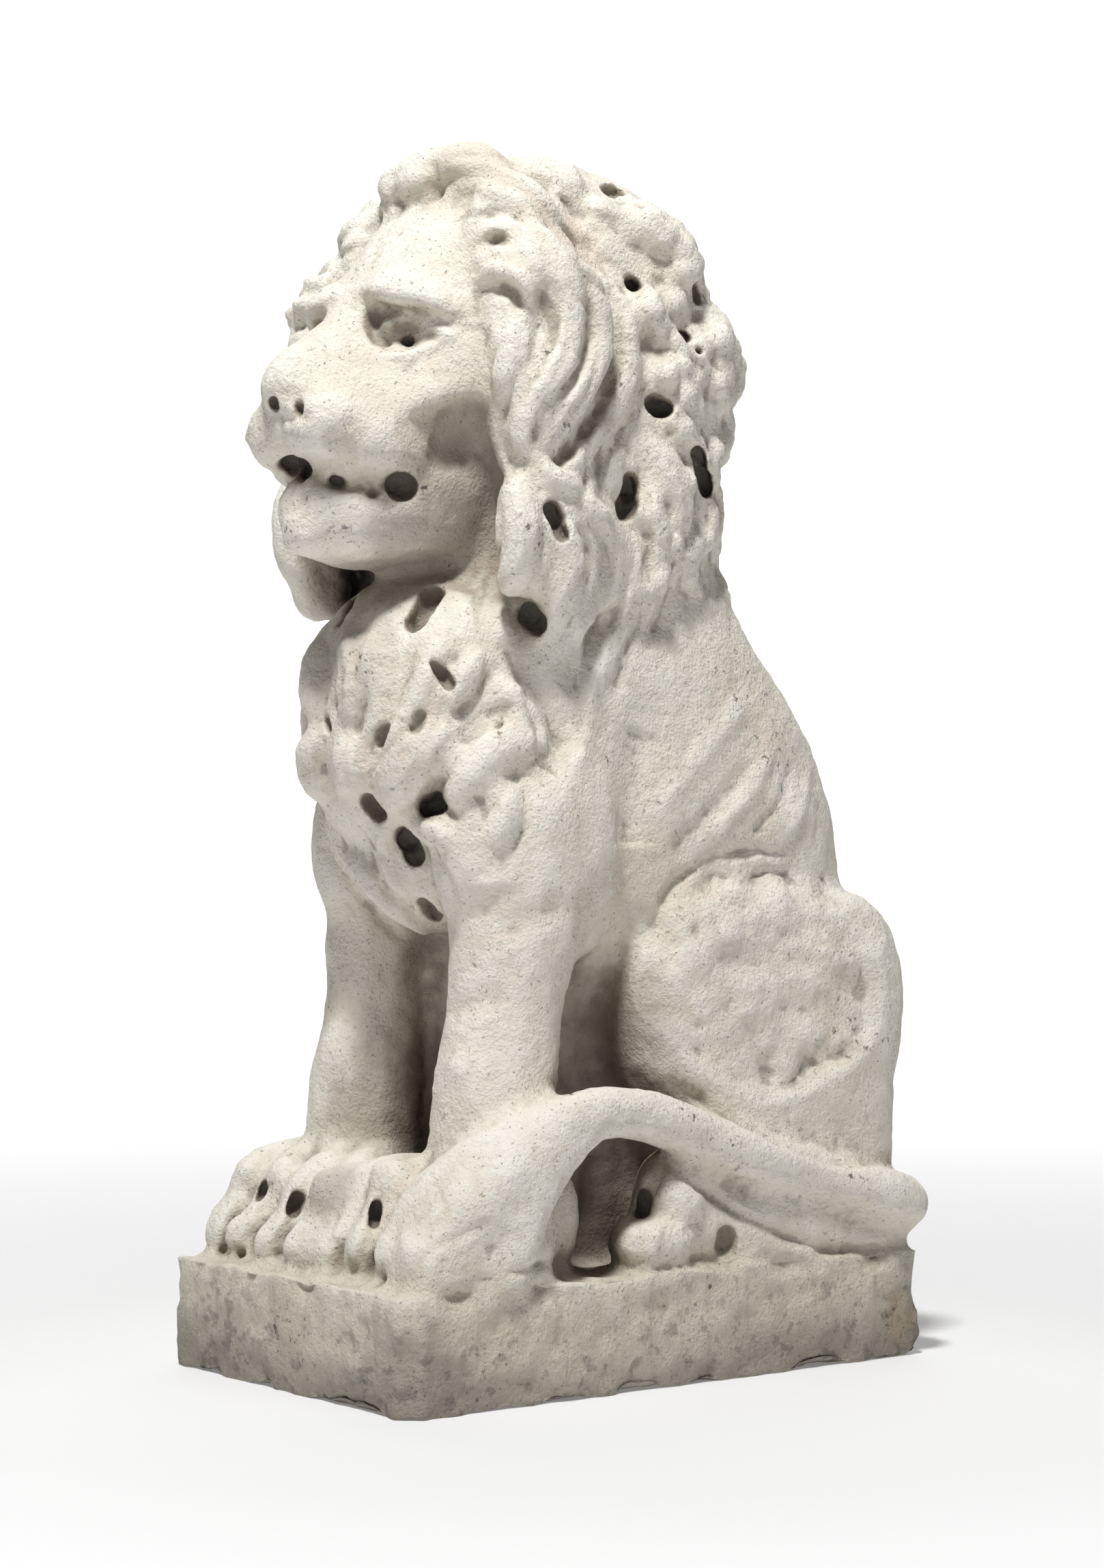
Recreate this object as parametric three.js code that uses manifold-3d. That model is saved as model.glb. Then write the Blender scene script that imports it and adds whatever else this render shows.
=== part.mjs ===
// A seated lion carved with its plinth from one block of pale stone.
// Millimetres, +Z up. The lion looks along -Y, its left side is +X.
// The origin is the middle of the plinth's underside.
import * as THREE from "three";
import { mergeVertices } from "three/addons/utils/BufferGeometryUtils.js";
import Module from "manifold-3d";

const wasm = await Module();
wasm.setup();

// Driving dimensions of the block
const plinthWidth = 300;
const plinthLength = 470;
const plinthHeight = 80;
const cornerCut = 14;
const headTurn = THREE.MathUtils.degToRad(4);
const headPivot = [0, -40];

// How finely round forms are faceted
const facetEdge = 28;
const fewestSides = 8;
const mostSides = 18;
const trunkSides = 24;
const tipFlat = 0.08;

// A closed geometry as a solid that can be joined and cut
function solidOf(geometry) {
  const bare = geometry.clone();
  bare.deleteAttribute("normal");
  bare.deleteAttribute("uv");
  const merged = mergeVertices(bare, 1e-3);
  return new wasm.Manifold(
    new wasm.Mesh({
      numProp: 3,
      vertProperties: merged.attributes.position.array,
      triVerts: new Uint32Array(merged.index.array),
    }),
  );
}

function sidesFor(radius) {
  const sides = Math.round((2 * Math.PI * radius) / facetEdge / 2) * 2;
  return THREE.MathUtils.clamp(sides, fewestSides, mostSides);
}

// An ellipsoid of stone; a squareness over 2 swells it towards its box
function ball(centre, radii, squareness = 2) {
  const around = sidesFor(Math.max(...radii));
  const geometry = new THREE.SphereGeometry(1, around, Math.round(around / 2));
  geometry.rotateX(Math.PI / 2);
  const points = geometry.attributes.position;
  for (let i = 0; i < points.count; i++) {
    const p = new THREE.Vector3().fromBufferAttribute(points, i);
    const sum = p.toArray().reduce((total, c) => total + Math.abs(c) ** squareness, 0);
    p.multiplyScalar(sum ** (-1 / squareness));
    points.setXYZ(i, p.x, p.y, p.z);
  }
  geometry.scale(...radii);
  geometry.translate(...centre);
  return solidOf(geometry);
}

// Rings of points joined into a closed skin, each end closed on its own centre
function loft(rings) {
  const sides = rings[0].length;
  const positions = rings.flat().flatMap((p) => [p.x, p.y, p.z]);
  const centres = [rings[0], rings.at(-1)].map((ring) =>
    ring.reduce((sum, p) => sum.add(p), new THREE.Vector3()).divideScalar(sides),
  );
  centres.forEach((c) => positions.push(c.x, c.y, c.z));
  const startCentre = rings.length * sides;
  const endCentre = startCentre + 1;
  const faces = [];
  for (let i = 0; i < rings.length - 1; i++) {
    for (let j = 0; j < sides; j++) {
      const a = i * sides + j;
      const b = i * sides + ((j + 1) % sides);
      faces.push(a, b, b + sides, a, b + sides, a + sides);
    }
  }
  const last = (rings.length - 1) * sides;
  for (let j = 0; j < sides; j++) {
    const next = (j + 1) % sides;
    faces.push(startCentre, next, j);
    faces.push(endCentre, last + j, last + next);
  }
  const geometry = new THREE.BufferGeometry();
  geometry.setAttribute("position", new THREE.Float32BufferAttribute(positions, 3));
  geometry.setIndex(faces);
  return solidOf(geometry);
}

// A limb follows a smooth curve through [x, y, z, radius] stations, its ends rounded past them
function limb(stations) {
  const centres = stations.map(([x, y, z]) => new THREE.Vector3(x, y, z));
  const radii = stations.map((station) => station[3]);
  const beyond = (end, inner, radius) =>
    end.clone().addScaledVector(end.clone().sub(inner).normalize(), radius);
  const points = [
    beyond(centres[0], centres[1], radii[0]),
    ...centres,
    beyond(centres.at(-1), centres.at(-2), radii.at(-1)),
  ];
  const along = [radii[0], ...radii, radii.at(-1)];
  const curve = new THREE.CatmullRomCurve3(points, false, "centripetal");
  const length = curve.getLength();
  const sides = sidesFor(Math.max(...radii));
  const steps = Math.max(5, Math.round(length / facetEdge));
  const frames = curve.computeFrenetFrames(steps, false);
  const rings = frames.tangents.map((_, i) => {
    const u = i / steps;
    const place = curve.getUtoTmapping(u) * (points.length - 1);
    const k = Math.min(Math.floor(place), points.length - 2);
    const radius = THREE.MathUtils.lerp(along[k], along[k + 1], place - k);
    const toEnd = Math.min(u, 1 - u) * length;
    const reach = Math.min(1, toEnd / radius + tipFlat);
    const rounded = radius * Math.sqrt(1 - (1 - reach) ** 2);
    const centre = curve.getPointAt(u);
    return Array.from({ length: sides }, (_, j) => {
      const angle = (2 * Math.PI * j) / sides;
      return centre
        .clone()
        .addScaledVector(frames.normals[i], rounded * Math.cos(angle))
        .addScaledVector(frames.binormals[i], rounded * Math.sin(angle));
    });
  });
  return loft(rings);
}

// A trunk of level rounded-square slices, each [z, front y, back y, half width]
function trunk(slices, squareness) {
  const rings = slices.map(([z, front, back, half]) => {
    const middle = (front + back) / 2;
    const reach = (back - front) / 2;
    return Array.from({ length: trunkSides }, (_, j) => {
      const angle = (2 * Math.PI * j) / trunkSides;
      const c = Math.cos(angle);
      const s = Math.sin(angle);
      return new THREE.Vector3(
        half * Math.sign(c) * Math.abs(c) ** (2 / squareness),
        middle + reach * Math.sign(s) * Math.abs(s) ** (2 / squareness),
        z,
      );
    });
  });
  return loft(rings);
}

const joined = (solids) => solids.reduce((whole, next) => whole.add(next));
const bothSides = (make) => [...make(1), ...make(-1)];

// The plinth, with its left front corner cut off
function plinth() {
  const half = plinthWidth / 2;
  const front = -plinthLength / 2;
  const back = plinthLength / 2;
  const outline = new THREE.Shape([
    new THREE.Vector2(-half, front),
    new THREE.Vector2(half - cornerCut, front),
    new THREE.Vector2(half, front + cornerCut),
    new THREE.Vector2(half, back),
    new THREE.Vector2(-half, back),
  ]);
  return solidOf(
    new THREE.ExtrudeGeometry(outline, { depth: plinthHeight, bevelEnabled: false }),
  );
}

// The barrel of the body, from the neck down to the seat, and the stone under the belly
function torso() {
  const barrel = trunk(
    [
      [60, -10, 226, 112],
      [180, -20, 234, 112],
      [240, -30, 238, 114],
      [300, -60, 240, 118],
      [343, -100, 238, 120],
      [409, -140, 228, 118],
      [473, -158, 206, 112],
      [535, -142, 154, 104],
      [596, -120, 112, 96],
      [660, -100, 100, 90],
    ],
    3.5,
  );
  const underBelly = trunk(
    [
      [60, -70, 60, 76],
      [200, -76, 60, 78],
      [360, -90, 60, 80],
    ],
    4,
  );
  return [barrel, underBelly];
}

// Haunch, hip, hind leg and hind paw, and the stone left under the thigh
function hindQuarter(side) {
  return [
    ball([side * 92, 118, 248], [48, 98, 122], 2.5),
    ball([side * 94, 184, 264], [45, 70, 88], 2.8),
    ball([side * 88, 180, 170], [46, 66, 100], 3),
    ball([side * 92, 132, 104], [46, 110, 44], 3.4),
    limb([
      [side * 112, 60, 112, 34],
      [side * 118, 10, 112, 31],
      [side * 122, -30, 106, 27],
    ]),
  ];
}

// Shoulder, foreleg and forepaw, with four toes each
function foreQuarter(side) {
  const legX = side * 80;
  const pawX = side * 72;
  const toeGap = 39;
  const toes = [-1.5, -0.5, 0.5, 1.5].map((place) => {
    const x = pawX + place * toeGap;
    return limb([
      [legX + place * toeGap * 0.7, -128, 142, 20],
      [x, -166, 136, 21],
      [x, -186, 106, 22],
    ]);
  });
  return [
    ball([side * 78, -78, 385], [52, 82, 95]),
    limb([
      [legX, -88, 400, 54],
      [legX, -94, 330, 50],
      [legX, -104, 262, 43],
      [legX, -108, 200, 42],
      [legX, -116, 120, 46],
    ]),
    ball([pawX, -128, 112], [66, 52, 46], 2.6),
    ...toes,
  ];
}

// The head, before it is turned
function head() {
  return [
    ball([0, -88, 800], [88, 82, 90]),
    ball([0, -200, 690], [50, 56, 48]),
    ball([0, -172, 624], [56, 66, 47]),
    ball([0, -208, 606], [30, 27, 27]),
    limb([
      [0, -148, 796, 40],
      [0, -186, 740, 28],
      [0, -220, 716, 25],
      [0, -243, 696, 22],
    ]),
    ...bothSides((side) => [
      ball([side * 60, -132, 694], [44, 58, 62]),
      ball([side * 28, -222, 668], [32, 36, 29]),
      limb([
        [side * 26, -174, 770, 22],
        [side * 54, -148, 762, 17],
        [side * 76, -124, 752, 13],
      ]),
      ball([side * 96, -128, 782], [16, 16, 26]),
    ]),
  ];
}

// The mane, from the crown down the neck, and the ruff that frames the face
function mane() {
  return [
    trunk(
      [
        [535, -120, 95, 100],
        [560, -125, 100, 116],
        [596, -125, 108, 124],
        [640, -124, 117, 128],
        [684, -122, 124, 128],
        [720, -122, 133, 129],
        [750, -120, 145, 128],
        [785, -120, 125, 116],
        [820, -115, 110, 105],
        [852, -112, 97, 94],
        [880, -104, 62, 70],
        [899, -88, 26, 46],
      ],
      2.6,
    ),
    ...bothSides((side) => [
      ball([side * 98, -112, 690], [38, 50, 132], 2.5),
      ball([side * 76, -104, 800], [38, 40, 62]),
      limb([
        [side * 56, -110, 846, 25],
        [side * 94, -132, 798, 24],
        [side * 121, -143, 750, 21],
        [side * 124, -148, 690, 21],
        [side * 120, -150, 632, 23],
        [side * 109, -137, 585, 25],
        [side * 96, -120, 556, 24],
      ]),
    ]),
  ];
}

// The locks that hang over the chest, ending in a point between the shoulders
function chest() {
  return [
    ball([0, -112, 480], [98, 78, 118]),
    ball([0, -92, 392], [70, 66, 70]),
    ...bothSides((side) => [ball([side * 62, -116, 500], [42, 56, 62])]),
  ];
}

// The tail comes round the left side, arches over the hind paw and ends in a tuft
function tail() {
  return [
    limb([
      [50, 226, 112, 21],
      [120, 234, 112, 21],
      [145, 218, 118, 21],
      [139, 140, 138, 21],
      [139, 76, 155, 21],
      [139, 30, 172, 20],
      [139, -14, 187, 20],
      [139, -64, 194, 20],
      [137, -110, 186, 22],
      [132, -144, 160, 31],
      [120, -170, 126, 35],
      [114, -184, 104, 28],
    ]),
  ];
}

const stone = new THREE.MeshStandardMaterial({
  color: 0xd9d2c2,
  roughness: 0.92,
  metalness: 0,
});

const turned = new THREE.Matrix4()
  .makeTranslation(headPivot[0], headPivot[1], 0)
  .multiply(new THREE.Matrix4().makeRotationZ(headTurn))
  .multiply(new THREE.Matrix4().makeTranslation(-headPivot[0], -headPivot[1], 0));

// A solid's vertices and triangles as a geometry
function geometryOf(solid) {
  const mesh = solid.getMesh();
  const positions = new Float32Array(mesh.numVert * 3);
  for (let i = 0; i < mesh.numVert; i++) {
    positions.set(mesh.vertProperties.subarray(i * mesh.numProp, i * mesh.numProp + 3), i * 3);
  }
  const geometry = new THREE.BufferGeometry();
  geometry.setAttribute("position", new THREE.BufferAttribute(positions, 3));
  geometry.setIndex(new THREE.BufferAttribute(new Uint32Array(mesh.triVerts), 1));
  return geometry;
}

const turnedHead = solidOf(geometryOf(joined([...head(), ...mane()])).applyMatrix4(turned));
const statue = joined([
  plinth(),
  ...torso(),
  ...bothSides(hindQuarter),
  ...bothSides(foreQuarter),
  ...chest(),
  turnedHead,
  ...tail(),
]);

const lion = new THREE.Mesh(geometryOf(statue), stone);
lion.name = "seated_lion";

const group = new THREE.Group();
group.add(lion);
export default group;
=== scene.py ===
# %% [markdown]
# # A sitting lion carved from one block of stone
# The lion and its plinth are one piece of pale limestone, roughed out in big masses, then cut with
# a chisel and a mason's drill, and worn by weather ever since. This lesson follows the same order:
# clay-like masses first, then the locks and the face, then the drill, then the wear, the dirt and
# the light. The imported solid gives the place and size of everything.

# %% The frame
import math
import bmesh
import bpy
import numpy as np
from mathutils import Matrix, Vector
from mathutils.bvhtree import BVHTree


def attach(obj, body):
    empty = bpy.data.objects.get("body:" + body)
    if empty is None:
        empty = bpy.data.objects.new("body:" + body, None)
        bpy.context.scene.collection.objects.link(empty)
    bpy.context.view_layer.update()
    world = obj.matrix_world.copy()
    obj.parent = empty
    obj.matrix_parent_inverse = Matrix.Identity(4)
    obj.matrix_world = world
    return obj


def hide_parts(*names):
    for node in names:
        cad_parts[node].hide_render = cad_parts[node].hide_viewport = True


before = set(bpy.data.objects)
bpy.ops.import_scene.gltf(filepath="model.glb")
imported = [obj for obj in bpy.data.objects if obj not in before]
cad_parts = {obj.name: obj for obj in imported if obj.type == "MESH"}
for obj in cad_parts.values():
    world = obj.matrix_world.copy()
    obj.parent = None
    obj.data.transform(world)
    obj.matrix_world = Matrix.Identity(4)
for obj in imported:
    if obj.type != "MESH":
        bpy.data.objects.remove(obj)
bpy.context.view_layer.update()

MM = 0.001

# %% [markdown]
# ## The camera
# The picture looks at the lion's left front corner from a little below its middle. The camera was
# worked out from the plinth's corners, so a ray through a pixel of the picture meets the same
# place on the stone. Carving marks below are given as such pixels, in the whole 1617 by 2296 frame.

# %% Camera
PICTURE_WIDTH = 1617
PICTURE_HEIGHT = 2296
SENSOR = 36.0
LENS = 63.02
CAMERA_PLACE = Vector((1645.2, -1263.5, 327.0)) * MM
CAMERA_AZIMUTH = math.radians(52.48)
CAMERA_RISE = math.radians(-2.88)


def aimed(name, data, place, direction):
    """A camera or a lamp that looks along a direction."""
    thing = bpy.data.objects.new(name, data)
    bpy.context.scene.collection.objects.link(thing)
    thing.location = place
    thing.rotation_mode = "QUATERNION"
    thing.rotation_quaternion = direction.to_track_quat("-Z", "Y")
    return thing


camera_back = Vector((
    math.sin(CAMERA_AZIMUTH) * math.cos(CAMERA_RISE),
    -math.cos(CAMERA_AZIMUTH) * math.cos(CAMERA_RISE),
    math.sin(CAMERA_RISE),
))
camera_data = bpy.data.cameras.new("camera")
camera_data.lens = LENS
camera_data.sensor_width = SENSOR
camera = aimed("camera", camera_data, CAMERA_PLACE, -camera_back)
bpy.context.scene.camera = camera
camera_turn = camera.rotation_quaternion.to_matrix()


def ray_through(pixel):
    """The direction in space of the ray through a pixel of the picture."""
    across = (pixel[0] - PICTURE_WIDTH / 2) / PICTURE_HEIGHT * SENSOR
    up = (PICTURE_HEIGHT / 2 - pixel[1]) / PICTURE_HEIGHT * SENSOR
    return (camera_turn @ Vector((across, up, -LENS))).normalized()


print("camera looks along", tuple(round(c, 3) for c in -camera_back))

# %% [markdown]
# ## Clay for the big masses
# A carver sees the lion as a few swelling masses. Each is a ball, a limb or a stack of slices, and
# all of them go into one lump of clay. The sizes are millimetres, in the same frame as the solid.

# %% Lump and ball
def press_on(clay, part):
    """Joins a finished part to a lump of clay."""
    mesh = bpy.data.meshes.new("part")
    bmesh.ops.recalc_face_normals(part, faces=part.faces)
    part.to_mesh(mesh)
    part.free()
    clay.from_mesh(mesh)
    bpy.data.meshes.remove(mesh)


def placed(part, verts, size, centre):
    """Scales points to a size and moves them to a centre, both in millimetres."""
    bmesh.ops.scale(part, vec=Vector(size) * MM, verts=verts)
    bmesh.ops.translate(part, vec=Vector(centre) * MM, verts=verts)


def bead(part, centre, radius):
    """Adds a small ball to a part; its measures are metres."""
    bmesh.ops.create_icosphere(part, subdivisions=2, radius=radius,
                               matrix=Matrix.Translation(centre))


def ball(clay, centre, radii, squareness=2.0):
    """An ellipsoid; a squareness over 2 swells it towards its box."""
    part = bmesh.new()
    bmesh.ops.create_uvsphere(part, u_segments=32, v_segments=20, radius=1)
    for vert in part.verts:
        total = sum(abs(c) ** squareness for c in vert.co)
        vert.co *= total ** (-1 / squareness)
    placed(part, part.verts, radii, centre)
    press_on(clay, part)

# %% [markdown]
# ### Limbs
# A leg or the tail is a string of balls along a rounded curve, so its thickness can change along
# the way as a real leg's does.

# %% Curve and limb
LIMB_SPACING = 0.3


def rounded(stations, step=None, count=None):
    """A rounded curve through rows of numbers.

    Its points are a step apart, or there is a fixed count of them for each stretch.
    """
    rows = np.array(stations, float)
    rows = np.vstack([2 * rows[0] - rows[1], rows, 2 * rows[-1] - rows[-2]])
    path = []
    for i in range(1, len(rows) - 2):
        a, b, c, d = rows[i - 1:i + 3]
        points = count or max(1, round(np.linalg.norm(c[:3] - b[:3]) / step))
        for t in np.arange(points) / points:
            path.append(0.5 * (2 * b + (c - a) * t + (2 * a - 5 * b + 4 * c - d) * t ** 2
                               + (3 * b - a - 3 * c + d) * t ** 3))
    path.append(rows[-2])
    return np.array(path)


def limb(clay, stations):
    """A string of balls, [x, y, z, radius], so close that they read as one rounded limb."""
    part = bmesh.new()
    thinnest = min(station[3] for station in stations)
    for x, y, z, radius in rounded(stations, thinnest * LIMB_SPACING):
        bead(part, Vector((x, y, z)) * MM, radius * MM)
    press_on(clay, part)

# %% [markdown]
# ### Trunk and head
# The barrel of the body is a stack of level slices. The head needs more care, so upright sections
# run through it from the mane to the nose.

# %% Trunk and loft
TRUNK_POINTS = 48
LOFT_POINTS = 4


def ring(part, count):
    """The points of a new closed ring, and its edges."""
    made = bmesh.ops.create_circle(part, segments=count, radius=1, cap_ends=False)["verts"]
    return made, {edge for vert in made for edge in vert.link_edges}


def bridged(clay, part, rings):
    """Bridges each ring to the next, closes both ends and adds the result to the clay."""
    for first, second in zip(rings, rings[1:]):
        bmesh.ops.bridge_loops(part, edges=list(first | second))
    bmesh.ops.holes_fill(part, edges=part.edges, sides=0)
    press_on(clay, part)


def trunk(clay, slices, squareness):
    """Level rounded-square slices, each (height, front, back, half width), bridged together."""
    part = bmesh.new()
    rings = []
    for height, front, back, half in slices:
        made, edges = ring(part, TRUNK_POINTS)
        for vert in made:
            total = abs(vert.co.x) ** squareness + abs(vert.co.y) ** squareness
            vert.co *= total ** (-1 / squareness)
        placed(part, made, (half, (back - front) / 2, 1), (0, (front + back) / 2, height))
        rings.append(edges)
    bridged(clay, part, rings)


def loft(clay, sections):
    """Upright sections through the head, each (y, half outline of (x, z) from crown to base)."""
    rows = np.array([[(x, y, z) for x, z in half] for y, half in sections], float)
    strands = np.stack([rounded(rows[:, i], count=LOFT_POINTS) for i in range(rows.shape[1])],
                       axis=1)
    part = bmesh.new()
    rings = []
    for row in strands:
        half = rounded(row, count=LOFT_POINTS)
        outline = np.vstack([half, half[-2:0:-1] * (-1, 1, 1)])
        made, edges = ring(part, len(outline))
        for vert, place in zip(made, outline):
            vert.co = Vector(place) * MM
        rings.append(edges)
    bridged(clay, part, rings)

# %% [markdown]
# ### One skin
# A voxel remesh melts the overlapping lumps into one closed skin, and a little smoothing takes the
# hard creases out, as a thumb would.

# %% Melt the clay
def lump(name, clay):
    """A finished lump of clay as an object."""
    mesh = bpy.data.meshes.new(name)
    clay.to_mesh(mesh)
    clay.free()
    piece = bpy.data.objects.new(name, mesh)
    bpy.context.scene.collection.objects.link(piece)
    return piece


def baked(piece):
    """Applies a piece's modifiers to its mesh."""
    shaped = piece.evaluated_get(bpy.context.evaluated_depsgraph_get())
    mesh = bpy.data.meshes.new_from_object(shaped)
    piece.modifiers.clear()
    old = piece.data
    piece.data = mesh
    bpy.data.meshes.remove(old)


def fuse(piece, voxel, smoothing):
    """Melts overlapping lumps into one skin and softens the creases between them."""
    melt = piece.modifiers.new("melt", "REMESH")
    melt.mode = "VOXEL"
    melt.voxel_size = voxel * MM
    if smoothing:
        soften = piece.modifiers.new("soften", "SMOOTH")
        soften.factor = 0.5
        soften.iterations = smoothing
    baked(piece)
    print(piece.name, "now has", len(piece.data.polygons), "faces")


def press_into(piece, clay, voxel, smoothing):
    """Adds a lump of clay to a piece and fuses both."""
    clay.from_mesh(piece.data)
    clay.to_mesh(piece.data)
    clay.free()
    fuse(piece, voxel, smoothing)

# %% [markdown]
# ## The plinth and the body
# The lion sits on a low block with its forelegs straight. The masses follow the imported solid:
# block, barrel and chest, haunches, legs with their toes, and the tail that arches over one paw.

# %% Body masses
PLINTH_WIDTH = 300
PLINTH_LENGTH = 470
PLINTH_HEIGHT = 80
CORNER_CUT = 14
BOTH_SIDES = (1, -1)


def plinth(clay):
    part = bmesh.new()
    bmesh.ops.create_cube(part, size=1)
    placed(part, part.verts, (PLINTH_WIDTH, PLINTH_LENGTH, PLINTH_HEIGHT),
           (0, 0, PLINTH_HEIGHT / 2))
    corner = [edge for edge in part.edges
              if all(vert.co.x > 0 and vert.co.y < 0 for vert in edge.verts)]
    bmesh.ops.bevel(part, geom=corner, offset=CORNER_CUT * MM, affect="EDGES", segments=1,
                    profile=0.5, material=-1)
    press_on(clay, part)


def torso(clay):
    trunk(clay, [
        (60, -10, 226, 72), (180, -20, 236, 72), (240, -30, 242, 78), (300, -60, 244, 96),
        (343, -100, 240, 113), (409, -140, 229, 118), (473, -158, 206, 112),
        (535, -142, 154, 104), (596, -120, 112, 96), (660, -100, 100, 90),
    ], 3.5)
    trunk(clay, [(60, -78, 60, 66), (200, -80, 60, 66), (360, -90, 60, 76)], 4)


def hind_quarter(clay, side):
    ball(clay, (side * 90, 108, 266), (50, 118, 108), 2.5)
    ball(clay, (side * 94, 184, 264), (45, 72, 88), 2.8)
    ball(clay, (side * 88, 136, 186), (50, 112, 96), 3.4)
    ball(clay, (side * 92, 132, 104), (46, 110, 44), 3.4)
    ball(clay, (side * 118, 22, 126), (24, 36, 40), 2.4)
    limb(clay, [(side * 112, 60, 112, 34), (side * 118, 14, 104, 28), (side * 124, -20, 98, 22)])


def fore_quarter(clay, side):
    leg, paw, toe_gap = side * 80, side * 72, 39
    toe_front = -207 if side < 0 else -203
    ball(clay, (side * 78, -78, 385), (52, 82, 95))
    limb(clay, [(leg, -88, 400, 54), (leg, -94, 330, 50), (leg, -104, 266, 42),
                (leg, -112, 212, 46), (leg, -114, 160, 47), (leg, -118, 120, 50)])
    ball(clay, (paw, -128, 112), (66, 52, 46), 2.6)
    for place in (-1.5, -0.5, 0.5, 1.5):
        toe = paw + place * toe_gap
        limb(clay, [(leg + place * toe_gap * 0.7, -128, 146, 20), (toe, -166, 142, 20),
                    (toe, -184, 126, 19), (toe, -190, 104, 18), (toe, -188, 86, 20)])
        for claw in (-8, 8):
            limb(clay, [(toe + claw, toe_front, 112, 8), (toe + claw, toe_front - 7, 96, 7),
                        (toe + claw, toe_front - 5, 84, 6)])


def chest(clay):
    ball(clay, (0, -118, 474), (106, 84, 112))
    ball(clay, (0, -98, 392), (72, 68, 74))
    for side in BOTH_SIDES:
        ball(clay, (side * 60, -120, 500), (42, 60, 66))


def tail(clay):
    limb(clay, [
        (50, 226, 112, 21), (120, 234, 112, 21), (145, 218, 118, 21), (139, 140, 138, 21),
        (139, 76, 155, 21), (139, 30, 172, 20), (139, -14, 187, 20), (139, -64, 194, 20),
        (137, -110, 184, 22),
    ])
    # the tuft parts into lobes that lie over the near paw
    limb(clay, [(137, -104, 185, 22), (122, -142, 162, 27), (102, -176, 132, 25),
                (92, -196, 106, 17)])
    limb(clay, [(138, -104, 184, 22), (134, -146, 150, 26), (124, -180, 116, 25),
                (116, -200, 92, 15)])
    limb(clay, [(139, -80, 186, 18), (141, -116, 158, 20), (142, -140, 118, 19),
                (140, -150, 84, 18)])
    ball(clay, (124, -164, 86), (25, 58, 30), 5)
    # a wall of uncut stone stands under the tail, flush with the plinth's side
    ball(clay, (118, 142, 88), (31, 96, 44), 6)
    # the stone behind the arch was left standing in front of the hind paw
    ball(clay, (90, -96, 116), (36, 44, 54))


body_clay = bmesh.new()
plinth(body_clay)
torso(body_clay)
chest(body_clay)
tail(body_clay)
for side in BOTH_SIDES:
    hind_quarter(body_clay, side)
    fore_quarter(body_clay, side)
print("body clay:", len(body_clay.verts), "points")

# %% [markdown]
# ## The head and mane
# The head is built looking straight ahead and then turned a few degrees to the lion's left. Each
# section of the face is half an outline, since a lion's skull is the same on both sides.

# %% Head masses
HEAD_TURN = math.radians(4)
HEAD_PIVOT = Vector((0, -40, 0)) * MM
head_matrix = (Matrix.Translation(HEAD_PIVOT) @ Matrix.Rotation(HEAD_TURN, 4, "Z")
               @ Matrix.Translation(-HEAD_PIVOT))
UPPER_FACE = [
    (-70, [(0, 872), (52, 860), (88, 822), (96, 775), (98, 735), (96, 704), (88, 672), (70, 640),
           (40, 624), (0, 620)]),
    (-110, [(0, 864), (48, 852), (82, 816), (92, 774), (99, 735), (98, 708), (76, 672), (62, 640),
            (40, 624), (0, 620)]),
    (-136, [(0, 848), (40, 838), (70, 806), (80, 770), (90, 732), (90, 706), (68, 670), (58, 640),
            (40, 624), (0, 620)]),
    (-158, [(0, 826), (32, 818), (58, 792), (66, 762), (74, 732), (80, 702), (64, 670), (56, 640),
            (38, 624), (0, 620)]),
    (-180, [(0, 800), (24, 794), (42, 774), (44, 754), (52, 726), (70, 694), (66, 664), (58, 642),
            (36, 630), (0, 626)]),
    (-202, [(0, 764), (16, 760), (26, 746), (36, 728), (48, 706), (58, 684), (57, 662), (50, 646),
            (32, 640), (0, 638)]),
    (-224, [(0, 745), (14, 742), (23, 730), (33, 714), (44, 696), (50, 680), (48, 662), (40, 650),
            (24, 646), (0, 648)]),
    (-243, [(0, 728), (12, 726), (20, 717), (28, 704), (36, 692), (40, 680), (38, 666), (30, 656),
            (16, 652), (0, 656)]),
    (-255, [(0, 714), (8, 712), (14, 706), (18, 698), (22, 690), (24, 682), (22, 674), (16, 668),
            (8, 666), (0, 670)]),
]
JAW = [
    (-80, [(0, 690), (56, 686), (74, 664), (70, 622), (52, 594), (0, 590)]),
    (-124, [(0, 690), (54, 686), (69, 658), (66, 620), (48, 592), (0, 586)]),
    (-160, [(0, 690), (46, 680), (60, 646), (57, 614), (42, 588), (0, 581)]),
    (-188, [(0, 660), (38, 650), (53, 634), (54, 608), (38, 587), (0, 580)]),
    (-218, [(0, 646), (27, 644), (39, 630), (38, 608), (28, 590), (0, 584)]),
    (-239, [(0, 638), (15, 637), (23, 627), (22, 610), (15, 600), (0, 594)]),
]


def head(clay):
    """Skull and jaw, nose, lip pads and brows."""
    loft(clay, UPPER_FACE)
    loft(clay, JAW)
    ball(clay, (0, -223, 604), (25, 22, 22))
    limb(clay, [(0, -228, 722, 19), (0, -246, 708, 20), (0, -249, 698, 19)])
    for side in BOTH_SIDES:
        ball(clay, (side * 17, -240, 697), (12, 17, 13))
        ball(clay, (side * 29, -231, 674), (25, 27, 26))
        ball(clay, (side * 44, -200, 664), (22, 30, 25))
        limb(clay, [(side * 22, -186, 775, 11), (side * 36, -184, 778, 14),
                    (side * 54, -164, 770, 14), (side * 72, -140, 760, 10)])


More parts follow.
